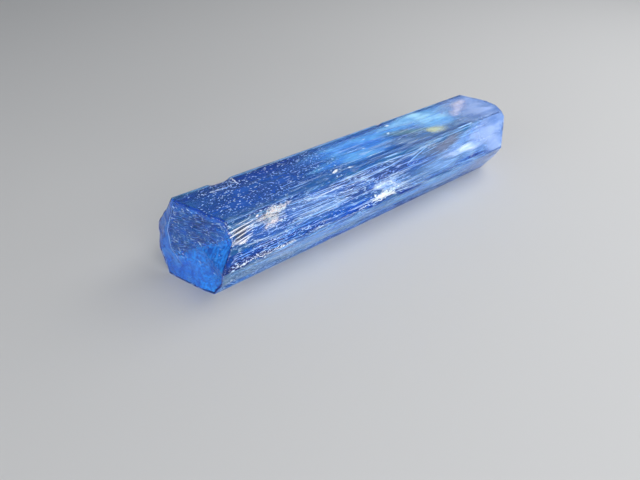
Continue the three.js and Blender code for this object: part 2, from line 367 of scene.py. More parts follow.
def crystal_body():
    """One closed mesh: side walls, then rings that close each end."""
    points, normals, faces = outline()
    columns = len(points)
    start, end = crystal_span(points[:, 0], points[:, 1])
    start, end = start + EDGE_RADIUS, end - EDGE_RADIUS
    share = np.linspace(0, 1, SIDE_ROWS)
    x = start[:, None] + (end - start)[:, None] * share[None, :]
    depth = side_depth(x, points, faces)
    fade = np.clip(np.minimum(x - start[:, None], end[:, None] - x) / END_CALM, 0, 1)
    apart, outward = nearest_corner(points)
    depth = depth * (END_RELIEF + (1 - END_RELIEF) * fade)
    depth = depth * np.clip(apart / EDGE_CALM, EDGE_RELIEF, 1)[:, None]
    chips = chip_depth(x, points)
    side_y = points[:, 0][:, None] - normals[:, 0][:, None] * depth - outward[:, 0][:, None] * chips
    side_z = points[:, 1][:, None] - normals[:, 1][:, None] * depth - outward[:, 1][:, None] * chips
    rows = [np.stack((x[:, i], side_y[:, i], side_z[:, i]), 1) for i in range(SIDE_ROWS)]
    root_rings = cap_rings(rows[0], root_surface, root_texture, 1, ROOT_RINGS)
    tip_rings = cap_rings(rows[-1], tip_surface, tip_texture, -1, TIP_RINGS)
    rings = root_rings[::-1] + rows + tip_rings
    vertices = np.concatenate(rings)
    root_centre, tip_centre = len(vertices), len(vertices) + 1
    axis = np.zeros(1)
    (root_x,), (tip_x,) = crystal_span(axis, axis)
    vertices = np.concatenate((vertices, ((root_x, 0, 0), (tip_x, 0, 0))))
    quads = []
    for r in range(len(rings) - 1):
        a = r * columns + np.arange(columns)
        b = r * columns + (np.arange(columns) + 1) % columns
        quads.append(np.stack((a, b, b + columns, a + columns), 1))
    quads = np.concatenate(quads)
    last = (len(rings) - 1) * columns
    a, b = np.arange(columns), (np.arange(columns) + 1) % columns
    fans = [(root_centre, int(j), int(i)) for i, j in zip(a, b)]
    fans += [(tip_centre, int(last + i), int(last + j)) for i, j in zip(a, b)]
    return vertices, quads.tolist() + fans


def cap_rings(rim, surface, texture, inward, count):
    """Rings from a rim to the middle of an end. inward is 1 at the root end and -1 at the tip."""
    yz = rim[:, 1:]
    reach = np.linalg.norm(yz, axis=1)
    rings = []
    for i in range(1, RIM_STEPS + 1):
        angle = math.pi / 2 * i / RIM_STEPS
        inset = EDGE_RADIUS * (1 - math.cos(angle))
        lift = EDGE_RADIUS * (1 - math.sin(angle))
        ring = yz * (1 - inset / reach)[:, None]
        x = surface(ring[:, 0], ring[:, 1]) + inward * (texture(ring[:, 0], ring[:, 1]) + lift)
        rings.append(np.column_stack((x, ring)))
    outer = rings[-1][:, 1:]
    for i in range(1, count):
        ring = outer * (1 - i / count)
        x = surface(ring[:, 0], ring[:, 1]) + inward * texture(ring[:, 0], ring[:, 1])
        rings.append(np.column_stack((x, ring)))
    return rings


# ---- Inclusion shapes ----

def on_face(name, x, across, depth):
    """Points inside the crystal: x along it, across a face from its first edge, and below that face."""
    k = FACE_NAMES.index(name)
    base = corner(k - 1)
    n, s = face_normal(k), face_sideways(k)
    x, across, depth = np.broadcast_arrays(x, across, depth)
    yz = base + across[..., None] * s - depth[..., None] * n
    return np.concatenate((x[..., None], yz), -1)


def tube(path, radius, sides=5):
    """A thin closed tube with pointed ends along a path of points."""
    path = np.asarray(path, float)
    count = len(path)
    ahead = np.gradient(path, axis=0)
    ahead /= np.linalg.norm(ahead, axis=1)[:, None]
    side = np.cross(ahead, (0.0, 0.3, 1.0))
    side /= np.linalg.norm(side, axis=1)[:, None]
    third = np.cross(ahead, side)
    share = np.linspace(0, 1, count)
    width = radius * np.sqrt(np.clip(np.sin(math.pi * share), 0, 1))
    vertices = []
    for i in range(1, count - 1):
        for j in range(sides):
            angle = 2 * math.pi * j / sides
            spoke = math.cos(angle) * side[i] + math.sin(angle) * third[i]
            vertices.append(path[i] + width[i] * spoke)
    first, last = len(vertices), len(vertices) + 1
    vertices += [path[0], path[-1]]
    faces = []
    for i in range(count - 3):
        for j in range(sides):
            a, b = i * sides + j, i * sides + (j + 1) % sides
            faces.append((a, a + sides, b + sides, b))
    end = (count - 3) * sides
    for j in range(sides):
        faces.append((first, j, (j + 1) % sides))
        faces.append((last, end + (j + 1) % sides, end + j))
    return np.array(vertices), faces, np.ones(len(vertices))


def smooth_path(points, count):
    """A curve through the points, sampled evenly by share of its length."""
    points = np.asarray(points, float)
    steps = np.linalg.norm(np.diff(points, axis=0), axis=1)
    at = np.concatenate(((0,), np.cumsum(steps)))
    grid = np.linspace(0, at[-1], count)
    coarse = np.stack([np.interp(grid, at, points[:, i]) for i in range(points.shape[1])], 1)
    for _ in range(max(1, count // 5)):
        coarse[1:-1] = (coarse[:-2] + coarse[1:-1] * 2 + coarse[2:]) / 4
    return coarse


def line_on(face, points, depth, radius, count=24):
    """A thin tube through points given as (x along, across the face), below that face."""
    flat = smooth_path(points, count)
    return tube(on_face(face, flat[:, 0], flat[:, 1], depth), radius)


def within_face(face, across, depth):
    """Squeezes places that would stand past the sides of a face back inside it."""
    low = SIDE_MARGIN + depth * SIDE_NARROWING
    high = face_width(face) - low
    across = low + SEAL_SOFTNESS * np.logaddexp(0, (across - low) / SEAL_SOFTNESS)
    return high - SEAL_SOFTNESS * np.logaddexp(0, (high - across) / SEAL_SOFTNESS)


def patch_on(face, middle, reach, turn, depth, tilt, thickness, wave, ragged, seed, segments, rings):
    """A thin closed lens with a ragged outline, lying below a face. Its third value fades to the rim."""
    angle = np.arange(segments) * 2 * math.pi / segments
    rim = 1 + ragged * noise3(1.3 * np.cos(angle) + seed, 1.3 * np.sin(angle), seed * 0.37, 50)
    rim = rim + 0.5 * ragged * noise3(4 * np.cos(angle), 4 * np.sin(angle), seed * 0.7, 51)
    vertices, fade = [], []

    def place(r, lift):
        a, b = reach[0] * r * rim * np.cos(angle), reach[1] * r * rim * np.sin(angle)
        x = middle[0] + a * math.cos(turn) - b * math.sin(turn)
        across = within_face(face, middle[1] + a * math.sin(turn) + b * math.cos(turn), depth)
        ripple = wave * noise3(x * 2.3, across * 3.1, seed * 1.1, 52)
        return on_face(face, x, across, depth + tilt * b + ripple + lift)

    levels = [i / rings for i in range(1, rings)]
    for side in (-1, 1):
        for r in levels:
            vertices.append(place(r, side * thickness * (1 - r * r)))
            fade.append(np.full(segments, 1 - r))
    vertices.append(place(1.0, 0.0))
    fade.append(np.zeros(segments))
    half = len(levels)
    rim_ring = 2 * half
    flat = np.concatenate(vertices)
    upper_middle, lower_middle = len(flat), len(flat) + 1
    flat = np.concatenate((flat, place(0.0, -thickness)[:1], place(0.0, thickness)[:1]))
    fade = np.concatenate((np.concatenate(fade), (1.0, 1.0)))
    faces = []
    for side, first_ring, centre in ((0, 0, upper_middle), (1, half, lower_middle)):
        order = list(range(first_ring, first_ring + half)) + [rim_ring]
        for j in range(segments):
            k = (j + 1) % segments
            fan = (centre, order[0] * segments + j, order[0] * segments + k)
            faces.append(fan if side == 0 else fan[::-1])
            for inner, outer in zip(order[:-1], order[1:]):
                near, far = inner * segments, outer * segments
                quad = (near + j, far + j, far + k, near + k)
                faces.append(quad if side == 0 else quad[::-1])
    return flat, faces, fade


def flake(face, place, reach, turn, depth, tilt, seed, ragged=0.5, segments=9):
    """A patch so tiny that one inner ring is enough."""
    return patch_on(face, place, reach, turn, depth, tilt, FLAKE_THICKNESS, 0, ragged, seed, segments, 2)


def merged(parts):
    """Several (vertices, faces, fade) shapes as one."""
    vertices, faces, fades, shift = [], [], [], 0
    for part, part_faces, fade in parts:
        vertices.append(part)
        fades.append(fade)
        faces += [tuple(i + shift for i in face) for face in part_faces]
        shift += len(part)
    return np.concatenate(vertices), faces, np.concatenate(fades)


# ---- Inclusion groups ----

def growth_tubes_painted_glints(random):
    """Fine hollow lines along the growth axis, just under the prism faces; their pale blue is partly a
    painted highlight of the striated faces.
    """
    parts = [line_on(face, points, 0.05, radius, 36) for face, points, radius in BRIGHT_LINES]
    counts = {"highFront": 380, "top": 120, "lowFront": 260, "highBack": 80, "lowBack": 80}
    for face, count in counts.items():
        width = face_width(face)
        for _ in range(count):
            length = 0.12 + 2.2 * random.uniform(0, 1) ** 3
            x = random.uniform(0.5, 15.5 - length)
            across = random.uniform(0.06, width - 0.06)
            if face == "top" and random.uniform(0, 6) > x:
                continue
            if face == "highFront" and across < 1.0 and random.uniform(0, 1) < 0.5:
                continue
            drift = random.normal(0, 0.02)
            bow = random.normal(0, 0.02)
            points = ((x, across), (x + length / 2, across + drift + bow), (x + length, across + 2 * drift))
            depth = random.uniform(0.02, 0.08)
            parts.append(line_on(face, points, depth, random.uniform(0.004, 0.011), 10))
    for i in range(16):
        a = 0.28 + 0.05 * i + random.normal(0, 0.012)
        x = 3.1 + random.uniform(0, 0.35)
        rise = 0.02 + 0.28 * (1 - i / 16)
        points = ((x, a), (x + 1.0, a + 0.02), (x + 2.0, a + 0.35 * rise), (x + 2.9, a + rise))
        depth = random.uniform(0.03, 0.08)
        parts.append(line_on("highFront", points, depth, random.uniform(0.006, 0.011), 20))
    return merged(parts)


def growth_lines_painted_glint(random):
    """The finest, brightest growth lines, mostly on the two front faces; their brightness is partly a painted
    glint of the striated faces.
    """
    parts = []
    zones = (
        ("highFront", 90, (0.9, 9.5), (0.35, 1.68)),
        ("highFront", 26, (4.5, 11.0), (0.06, 0.45)),
        ("lowFront", 60, (0.3, 9.0), (0.10, 1.80)),
        ("top", 46, (3.4, 11.0), (0.9, 2.30)),
    )
    for face, count, span, band in zones:
        for _ in range(count):
            length = 0.25 + 1.9 * random.uniform(0, 1) ** 2
            x, across = random.uniform(*span), random.uniform(*band)
            drift = random.normal(0, 0.02)
            points = ((x, across), (x + length / 2, across + drift), (x + length, across + drift))
            parts.append(line_on(face, points, random.uniform(0.018, 0.03), random.uniform(0.005, 0.009), 10))
    return merged(parts)


def fracture_flakes(random):
    """The bright tilted flakes crowded along the fracture."""
    parts = [patch_on("highFront", (1.95, 0.22), (0.06, 0.04), 0.0, 0.03, 0.0, 0.02, 0.0, 0.5, 3, 14, 6)]
    for i in range(190):
        along = random.normal(0, 0.55)
        x = 2.62 + 0.60 * along
        narrow = 0.075 * math.exp(-along * along) + 0.015
        across = 0.32 - 0.09 * along + random.normal(0, narrow)
        reach = (random.uniform(0.02, 0.075), random.uniform(0.010, 0.024))
        parts.append(flake("highFront", (x, max(across, 0.05)), reach, random.normal(-0.25, 0.5),
                           random.uniform(0.025, 0.09), random.normal(0, 0.8), i))
    for i in range(60):
        x, across = 2.50 + random.normal(0, 0.20), 0.66 + random.normal(0, 0.07)
        reach = (random.uniform(0.02, 0.06), random.uniform(0.008, 0.016))
        parts.append(flake("highFront", (x, across), reach, random.normal(-0.3, 0.5), 0.06,
                           random.normal(0, 0.6), 700 + i))
    return merged(parts)


def fracture_gaps(random):
    """Thin dark gaps that split the cream fracture."""
    return merged(flake_crowd(random, "highFront", (2.45, 0.40), (0.36, 0.12), (0.11, 0.012), 34, 1700,
                              (0.018, 0.026), 0.2))


def fracture_sparks(random):
    """White sparks where the fracture comes up to the face."""
    return merged(flake_crowd(random, "highFront", (2.75, 0.29), (0.36, 0.06), (0.05, 0.014), 60, 1800,
                              (0.014, 0.022), 0.3))


def streak_lines(random, rays, copies, radii, depths, spread):
    """Each ray as a bundle of pointed streaks."""
    parts = []
    for (x0, a0), (x1, a1) in rays:
        for j in range(copies):
            start = random.uniform(-0.08, 0.25) if j == 0 else random.uniform(-0.1, 0.5)
            end = random.uniform(0.8, 1.0) if j == 0 else start + random.uniform(0.3, 0.6)
            shift = 0.0 if j == 0 else random.normal(0, spread)
            shares = (start, (start + end) / 2, end)
            points = [(x0 + (x1 - x0) * t, a0 + (a1 - a0) * t + shift) for t in shares]
            thick = radii[1] if j == 0 else random.uniform(*radii) * 0.6
            parts.append(line_on("highFront", points, random.uniform(*depths), thick, 14))
    return merged(parts)


def finger_rays(random):
    """Pale streaks that fan out from the fracture towards the broken end."""
    return streak_lines(random, FINGER_RAYS, 5, (0.009, 0.021), (0.03, 0.06), 0.045)


def dark_rays(random):
    """Dark gaps between the pale streaks."""
    return streak_lines(random, DARK_RAYS, 3, (0.015, 0.034), (0.03, 0.05), 0.02)


def flake_crowd(random, face, middle, spread, sizes, count, seed, depth=(0.02, 0.06), turn=0.6):
    """Many tiny flakes scattered round a place; spread and sizes are (along, across)."""
    parts = []
    width = face_width(face)
    for i in range(count):
        x = middle[0] + random.normal(0, spread[0])
        across = min(max(middle[1] + random.normal(0, spread[1]), 0.03), width - 0.03)
        reach = (random.uniform(0.3, 1.0) * sizes[0], random.uniform(0.4, 1.0) * sizes[1])
        parts.append(flake(face, (x, across), reach, random.normal(0, turn), random.uniform(*depth),
                           random.normal(0, 0.6), seed + i))
    return parts


def crack_flakes_painted_highlight(random):
    """Small cracks whose mirror-bright flash is a painted highlight: the big cluster is on the front edge,
    half way along.
    """
    spots = (
        ("highFront", (7.95, 1.50), (0.34, 0.13), 0.06, 0.04),
        ("highFront", (8.30, 1.62), (0.40, 0.06), 0.03, 0.03),
        ("highFront", (8.54, 1.09), (0.07, 0.06), 0.2, 0.06),
        ("highFront", (0.40, 0.05), (0.20, 0.030), -0.1, 0.03),
        ("top", (6.04, 1.97), (0.15, 0.07), -0.3, 0.04),
        ("top", (6.75, 2.06), (0.17, 0.05), 0.1, 0.04),
        ("top", (8.30, 1.25), (0.08, 0.02), 0.0, 0.05),
        ("top", (8.82, 0.68), (0.08, 0.02), 0.0, 0.05),
        ("top", (10.63, 0.31), (0.11, 0.06), 0.0, 0.04),
        ("top", (10.16, 0.87), (0.09, 0.04), 0.1, 0.05),
        ("lowBack", (9.2, 0.7), (0.3, 0.06), 0.1, 0.06),
        ("highBack", (4.6, 1.1), (0.2, 0.06), -0.2, 0.05),
    )
    parts = []
    for i, (face, middle, reach, turn, depth) in enumerate(spots):
        parts.append(patch_on(face, middle, reach, turn, depth, 0.2, 0.012, 0.01, 0.6, 60 + i, 24, 4))
    crowds = (
        ("highFront", (7.95, 1.48), (0.34, 0.075), (0.12, 0.040), 80),
        ("highFront", (8.50, 1.30), (0.50, 0.19), (0.055, 0.016), 90),
        ("highFront", (8.45, 1.12), (0.12, 0.07), (0.04, 0.02), 18),
        ("highFront", (6.85, 1.62), (0.14, 0.03), (0.07, 0.02), 16),
        ("top", (6.04, 1.98), (0.09, 0.04), (0.04, 0.02), 14),
        ("top", (6.75, 2.08), (0.10, 0.02), (0.04, 0.015), 12),
        ("top", (10.6, 0.33), (0.08, 0.05), (0.04, 0.02), 12),
        ("top", (1.60, 0.47), (0.24, 0.030), (0.060, 0.018), 40),
        ("top", (2.37, 0.30), (0.025, 0.10), (0.028, 0.040), 30),
        ("highFront", (2.45, 0.10), (0.40, 0.03), (0.035, 0.015), 40),
        ("highFront", (11.3, 0.25), (0.3, 0.06), (0.06, 0.015), 24),
    )
    for i, (face, middle, spread, sizes, count) in enumerate(crowds):
        parts += flake_crowd(random, face, middle, spread, sizes, count, 800 + 70 * i)
    for i in range(190):
        x = random.uniform(0.5, 3.2)
        across = 1.75 - abs(random.normal(0, 0.10))
        reach = (random.uniform(0.012, 0.045), random.uniform(0.008, 0.018))
        parts.append(flake("highFront", (x, min(across, 1.71)), reach, random.normal(0, 0.7), 0.03,
                           random.normal(0, 0.5), 90 + i, 0.4, 8))
    return merged(parts)


def etch_specks_painted_glint(random):
    """Etch specks just under the faces, their glint a painted highlight, thickest on the near half of the top
    face.
    """
    parts = []
    zones = (
        ("top", 700, (0.3, 6.8), (0.014, 0.050), (0.011, 0.020)),
        ("top", 120, (7.0, 13.0), (0.012, 0.035), (0.008, 0.014)),
        ("highFront", 420, (0.4, 9.0), (0.025, 0.090), (0.008, 0.014)),
        ("lowFront", 320, (0.3, 3.8), (0.025, 0.090), (0.010, 0.018)),
        ("lowFront", 200, (3.0, 9.0), (0.020, 0.070), (0.008, 0.014)),
        ("highBack", 120, (0.4, 12.0), (0.015, 0.040), (0.010, 0.016)),
        ("lowBack", 120, (0.4, 12.0), (0.015, 0.040), (0.010, 0.016)),
    )
    for face, count, span, lengths, widths in zones:
        width = face_width(face)
        for i in range(count):
            place = (random.uniform(*span), random.uniform(0.05, width - 0.05))
            reach = (random.uniform(*lengths), random.uniform(*widths))
            parts.append(flake(face, place, reach, random.normal(0, 0.4), 0.028,
                               random.normal(0, 0.4), 300 + i, 0.4, 7))
    return merged(parts)


def chipped(face, start, end):
    """Whether the edge after a face has a chip anywhere from start to end."""
    for chip_face, middle, length, _ in EDGE_CHIPS:
        if chip_face == face and start < middle + length / 2 and end > middle - length / 2:
            return True
    return False


def edge_wear_painted_glint(random):
    """Bruised edges: broken runs of fine pale flakes just inside each long edge, partly real wear and partly
    a painted highlight along the edges.
    """
    parts = []
    for k, face in enumerate(FACE_NAMES):
        if face == "base":
            continue
        width = face_width(face)
        for end in (0.035, width - 0.035):
            x = 0.6
            while x < 14.6:
                run = random.uniform(0.2, 1.8)
                points = [(x + run * t, end + random.normal(0, 0.006)) for t in (0, 0.33, 0.66, 1)]
                edge_after = face if end > width / 2 else FACE_NAMES[k - 1]
                if not chipped(edge_after, x, x + run):
                    parts.append(line_on(face, points, 0.026, random.uniform(0.005, 0.010), 10))
                x += run + random.uniform(0.02, 0.5)
    return merged(parts)


def silk_flow(x, across):
    """How far the silk bends sideways: it sweeps round the fracture near the root end."""
    sweep = 0.5 + 0.5 * np.tanh((x - 4.9) / 0.7)
    return across - 0.42 * sweep * bump_curve(across, 0.75, 0.7) + 0.05 * np.sin(0.9 * x + 2 * across)


def silk_strength(name, x, across):
    """The near end of the top face is clear of silk, and the middle of the upper front face has little."""
    if name == "top":
        return np.clip((x - 4.5) / 5.0, 0.0, 1.0)
    if name == "highFront":
        return 0.7 - 0.58 * bump_curve(across, 0.45, 0.9) * bump_curve(x, 6.0, 6.0)
    return np.ones(x.shape)


def silk_sheet(name, seed):
    """A thin closed sheet under the whole of a face, with its silk coordinate for each point."""
    width = face_width(name)
    xs, acrosses = np.linspace(0.75, 15.9, 60), np.linspace(0.11, width - 0.11, 18)
    x, across = np.meshgrid(xs, acrosses, indexing="ij")
    ripple = 0.03 * noise3(0.8 * x, 2 * across, seed, 56)
    rim = np.minimum(np.minimum(x - xs[0], xs[-1] - x) / 1.2, np.minimum(across, width - across) / 0.12)
    fade = np.clip(rim, 0, 1) * silk_strength(name, x, across)
    bent = silk_flow(x, across) if name == "highFront" else across
    flow = np.stack((x, bent, np.full(x.shape, 3.0 * seed)), -1)
    upper = on_face(name, x, across, SILK_DEPTH + ripple)
    lower = on_face(name, x, across, SILK_DEPTH + ripple + SILK_THICKNESS)
    rows, columns = x.shape
    points = np.concatenate((upper.reshape(-1, 3), lower.reshape(-1, 3)))
    count = rows * columns
    faces = []
    for i in range(rows - 1):
        for j in range(columns - 1):
            a, b = i * columns + j, (i + 1) * columns + j
            faces.append((a, b, b + 1, a + 1))
            faces.append((count + a, count + a + 1, count + b + 1, count + b))
    rim_loop = list(range(columns))
    rim_loop += [i * columns + columns - 1 for i in range(1, rows)]
    rim_loop += [(rows - 1) * columns + j for j in range(columns - 2, -1, -1)]
    rim_loop += [i * columns for i in range(rows - 2, 0, -1)]
    for a, b in zip(rim_loop, rim_loop[1:] + rim_loop[:1]):
        faces.append((a, b, b + count, a + count))
    return points, faces, np.tile(fade.reshape(-1), 2), np.tile(flow.reshape(-1, 3), (2, 1))


def end_patch(surface, inward, middle, reach, turn, depth, seed, wave=0.05, segments=32, rings=8):
    """A thin lens lying behind an end of the crystal. Its middle is (y, z); it leans as that end does."""
    flat, faces, fade = patch_on("top", (0.0, 0.0), (1.0, 1.0), 0.0, 0.0, 0.0, 0.012, 0.0, 0.3, seed,
                                 segments, rings)
    centre = on_face("top", 0.0, 0.0, 0.0)
    a = (flat[:, 0] - centre[0]) * reach[0]
    b = (flat[:, 1] - centre[1]) * reach[1]
    y = middle[0] + a * math.cos(turn) - b * math.sin(turn)
    z = middle[1] + a * math.sin(turn) + b * math.cos(turn)
    ripple = wave * (1 + noise3(2 * y, 2 * z, seed, 54))
    x = surface(y, z) + inward * (depth + ripple) + (flat[:, 2] - centre[2])
    return np.column_stack((x, y, z)), faces, fade


def root_crowd(random, count, ys, zs, keep, lengths, widths, leans, depth, seed, wave=0.004, segments=10):
    """Tiny lenses scattered behind the broken end, wherever keep(y, z) allows. leans is (mean, spread)."""
    parts = []
    while len(parts) < count:
        y, z = random.uniform(*ys), random.uniform(*zs)
        if keep(y, z):
            reach = (random.uniform(*lengths), random.uniform(*widths))
            parts.append(end_patch(root_surface, 1, (y, z), reach, random.normal(*leans), depth,
                                   seed + len(parts), wave, segments, 2))
    return parts


def end_sheet(surface, texture, inward, cover, depth):
    """A closed sheet just behind an end of the crystal; cover(y, z) says how thick its cloud is."""
    points = outline()[0][::3]
    shares = np.linspace(0.0, 0.965, 30)
    columns = len(points)
    y, z = shares[:, None] * points[:, 0][None, :], shares[:, None] * points[:, 1][None, :]
    x = surface(y, z) + inward * (texture(y, z) + depth)
    layer = np.stack((x, y, z), -1).reshape(-1, 3)
    back = layer + inward * np.array((0.006, 0.0, 0.0))
    vertices = np.concatenate((layer, back))
    count = len(layer)
    faces = []
    for i in range(len(shares) - 1):
        for j in range(columns):
            k = (j + 1) % columns
            quad = (i * columns + j, i * columns + k, (i + 1) * columns + k, (i + 1) * columns + j)
            faces.append(quad[::-inward])
            faces.append(tuple(count + v for v in quad[::inward]))
    rim = (len(shares) - 1) * columns
    for j in range(columns):
        k = (j + 1) % columns
        faces.append((rim + j, rim + k, rim + k + count, rim + j + count)[::inward])
    fade = 0.5 * np.clip(cover(y, z), 0, 1).reshape(-1)
    return vertices, faces, np.tile(fade, 2)


def root_sheet(cover, depth):
    """A cloudy sheet behind the broken end."""
    return end_sheet(root_surface, root_texture, 1, cover, depth)


def tip_cover(y, z):
    """Frost behind the whole tip, a little thinner in the middle."""
    return 0.85 - 0.25 * bump_curve(y + 0.3, 0.0, 0.9) * bump_curve(z, 0.2, 0.9)


def left_of_crease(y, z):
    """Positive in the bevel along the left of the broken end, past its crease."""
    crease_y, crease_z = zip(*reversed(ROOT_CREASE))
    return y - np.interp(z, crease_z, crease_y)


def azure_cover(y, z):
    """Thick low down and in the left bevel, thin over the dark middle."""
    lower = np.clip((-0.02 - 0.74 * y - z + 0.15) / 0.4, 0, 1)
    bevel = np.clip(left_of_crease(y, z) / 0.08 + 0.5, 0, 1)
    return 0.20 + 0.80 * np.maximum(lower, 0.75 * bevel)


def painted_shade_cover(y, z):
    """Painted shade: the dark middle of the broken end, where the azure is thin."""
    return 1.1 * (1 - azure_cover(y, z))


def bevel_cover(y, z):
    """Thick in the left bevel, thinner at the lower left."""
    bevel = np.clip(left_of_crease(y, z) / 0.06, 0, 1)
    low_left = np.clip((-0.55 - z) / 0.3, 0, 1) * np.clip((y + 0.6) / 0.8, 0, 1)
    return 0.65 * np.maximum(bevel, 0.6 * low_left)


def tip_clouds():
    """Milky films just behind the natural tip."""
    parts = [
        end_patch(tip_surface, -1, (0.0, 0.0), (1.2, 1.1), 0.0, 0.20, 76),
        end_patch(tip_surface, -1, (-0.9, 0.2), (0.9, 1.0), 0.3, 0.45, 77),
    ]
    return merged(parts)


def lower_streaks(random):
    """Pale azure streaks in the lower, brighter part of the broken end."""
    return merged(root_crowd(random, 90, (-1.5, 1.0), (-1.4, 0.6),
                             lambda y, z: azure_cover(y, z) >= 0.7 and y * y + z * z <= 2.2,
                             (0.05, 0.20), (0.008, 0.018), (-0.5, 0.3), 0.085, 1200))


def root_glints(random):
    """A few bright spots and many small glints in the upper part of the broken end."""
    spots = ((1.0, 1.37), (-0.27, 0.30), (0.74, 0.01), (0.38, 1.50), (-0.31, -0.43), (0.10, -0.64))
    parts = []
    for i, spot in enumerate(spots):
        parts.append(end_patch(root_surface, 1, spot, (0.06, 0.035), 0.3, 0.075, 80 + i, 0.0))
    return merged(parts + root_crowd(random, 230, (-1.3, 1.1), (-0.7, 1.5), lambda y, z: True,
                                     (0.018, 0.080), (0.009, 0.022), (0.3, 0.4), 0.085, 500, 0.006, 8))


def root_streaks(random, count, lengths, widths):
    """Short parallel streaks in the dark middle of the broken end."""
    return merged(root_crowd(random, count, (-1.1, 1.1), (-0.6, 1.4),
                             lambda y, z: random.uniform(0, 1) <= painted_shade_cover(y, z),
                             lengths, widths, (-0.25, 0.15), 0.09, 900))


def rim_wear_painted_glint(random):
    """Bruises along the rim of the broken end, brightest low down, partly real wear and partly a painted
    highlight; the tube along the crease is a painted highlight too.
    """
    points = outline()[0] * 0.985
    columns = len(points)
    parts = []
    at = 0
    while at < columns - 30:
        run = random.integers(8, 30)
        along = points[at:at + run]
        x = root_surface(along[:, 0], along[:, 1]) + root_texture(along[:, 0], along[:, 1]) + 0.03
        parts.append(tube(np.column_stack((x, along)), random.uniform(0.005, 0.014)))
        at += run + random.integers(2, 24)
    parts = [part for part in parts if part[0][:, 2].mean() < 0 < part[0][:, 1].mean() + 1.0]
    crease = smooth_path(ROOT_CREASE, 40)
    x = root_surface(crease[:, 0], crease[:, 1]) + root_texture(crease[:, 0], crease[:, 1]) + 0.025
    parts.append(tube(np.column_stack((x, crease)), 0.010))
    return merged(parts)


def under_relief(vertices):
    """Shifts what lies near a side face inward by the grooves and chips above it."""
    x, yz = vertices[:, :1], vertices[:, 1:].copy()
    for k in range(6):
        n = face_normal(k)
        below = FACE_DISTANCES[k] - yz @ n
        near = np.flatnonzero(below < RELIEF_REACH)
        above = yz[near] + below[near, None] * n
        relief = side_depth(x[near], above, np.full(len(near), k)) + chip_depth(x[near], above)
        share = 1 - np.clip(below[near] / RELIEF_REACH, 0, 1)
        pressed = SEAL_SOFTNESS * np.logaddexp(0, below[near] / SEAL_SOFTNESS)
        inward = pressed - below[near] + relief[:, 0] * share
        yz[near] -= inward[:, None] * n
    return np.concatenate((x, yz), 1)


def sealed(vertices, fade):
    """Squeezes what would stand past either end back inside the crystal, and fades a film out there."""
    x, y, z = under_relief(np.asarray(vertices, float)).T
    low, high = crystal_span(y, z)
    low, high = low + SEAL_MARGIN, high - SEAL_MARGIN
    room = np.minimum(x - low, high - x)
    x = low + SEAL_SOFTNESS * np.logaddexp(0, (x - low) / SEAL_SOFTNESS)
    x = high - SEAL_SOFTNESS * np.logaddexp(0, (high - x) / SEAL_SOFTNESS)
    return np.column_stack((x, y, z)), np.asarray(fade) * np.clip(room / SEAL_MARGIN + 1, 0, 1)


# ---- Films ----

